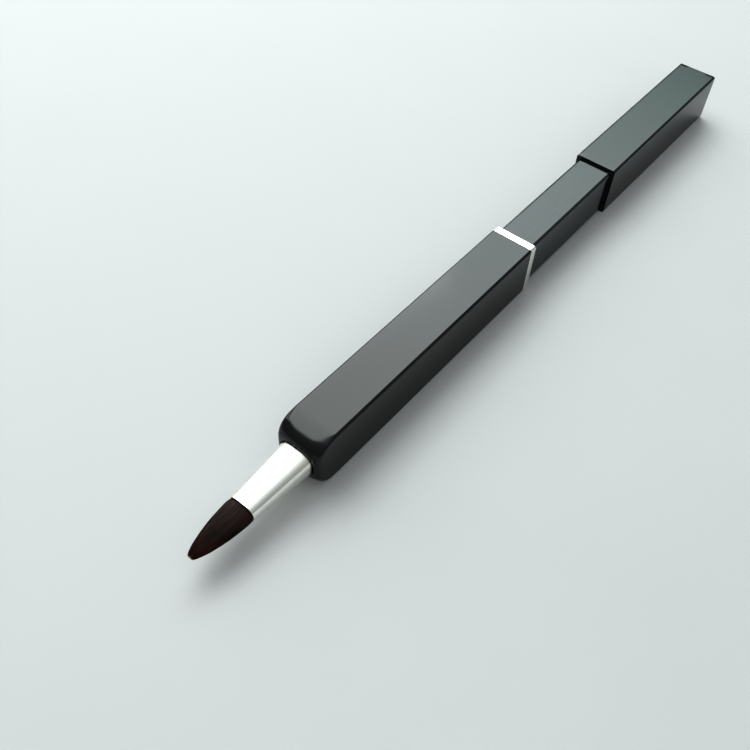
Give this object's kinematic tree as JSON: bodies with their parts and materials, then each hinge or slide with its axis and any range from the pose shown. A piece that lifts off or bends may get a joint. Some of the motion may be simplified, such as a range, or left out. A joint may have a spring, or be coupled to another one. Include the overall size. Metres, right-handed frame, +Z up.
{
  "type": "retractable pocket brush",
  "caption": "Slide-out pocket brush: rectangular gloss-black two-part case with a bright collar ring, an inner tube, a tapering oval ferrule and a short rounded hair tuft.",
  "frame": {"origin": "centre of the overall box of the open brush, on the plane of the case's flat underside", "axes": "+X along the brush towards the hair tip, +Z up out of the top face, +Y across"},
  "size_m": [0.162, 0.009, 0.0107],
  "materials": {
    "black_lacquer": "gloss black lacquer",
    "black_tube": "gloss black, fine lengthwise rub lines",
    "bright_plate": "polished silver plate",
    "ferrule_plate": "polished nickel plate",
    "natural_resin": "moulded acetal",
    "black_resin": "moulded acetal",
    "steel": "drawn",
    "resin_glue": "cast resin",
    "thread": "wound thread",
    "hair": "fine dark brown hair"
  },
  "bodies": {
    "front": {"front_casing": "black_lacquer", "collar_ring": "bright_plate", "nose_bush": "black_resin", "guide_rail": "black_resin", "pinion_axle": "steel"},
    "rear": {"rear_casing": "black_lacquer", "inner_tube": "black_tube", "coupling_sleeve": "black_resin", "tail_plug": "black_resin", "slide_shoe": "natural_resin", "drive_rack": "natural_resin", "friction_spring": "steel"},
    "brush": {"ferrule": "ferrule_plate", "hair_tuft": "hair", "brush_carriage": "natural_resin", "carriage_rack": "natural_resin", "hair_root_glue": "resin_glue", "tuft_binding": "thread"},
    "pinion": {"pinion": "natural_resin"}
  },
  "joints": [
    {"name": "rear_slide", "type": "slide", "parent": "front", "child": "rear", "axis": [1, 0, 0], "range_m": [0, 0.0299]},
    {"name": "brush_slide", "type": "slide", "parent": "front", "child": "brush", "axis": [1, 0, 0], "range_m": [-0.0299, 0]},
    {"name": "pinion_spin", "type": "hinge", "parent": "front", "child": "pinion", "pos_m": [0.002, 0, 0.00392], "axis": [0, 1, 0], "range_deg": [-979.2, 0]}
  ],
  "couplings": [
    {"joint": "brush_slide", "follows": "rear_slide", "ratio": -1},
    {"joint": "pinion_spin", "follows": "rear_slide", "rad_per_m": -571.43}
  ]
}
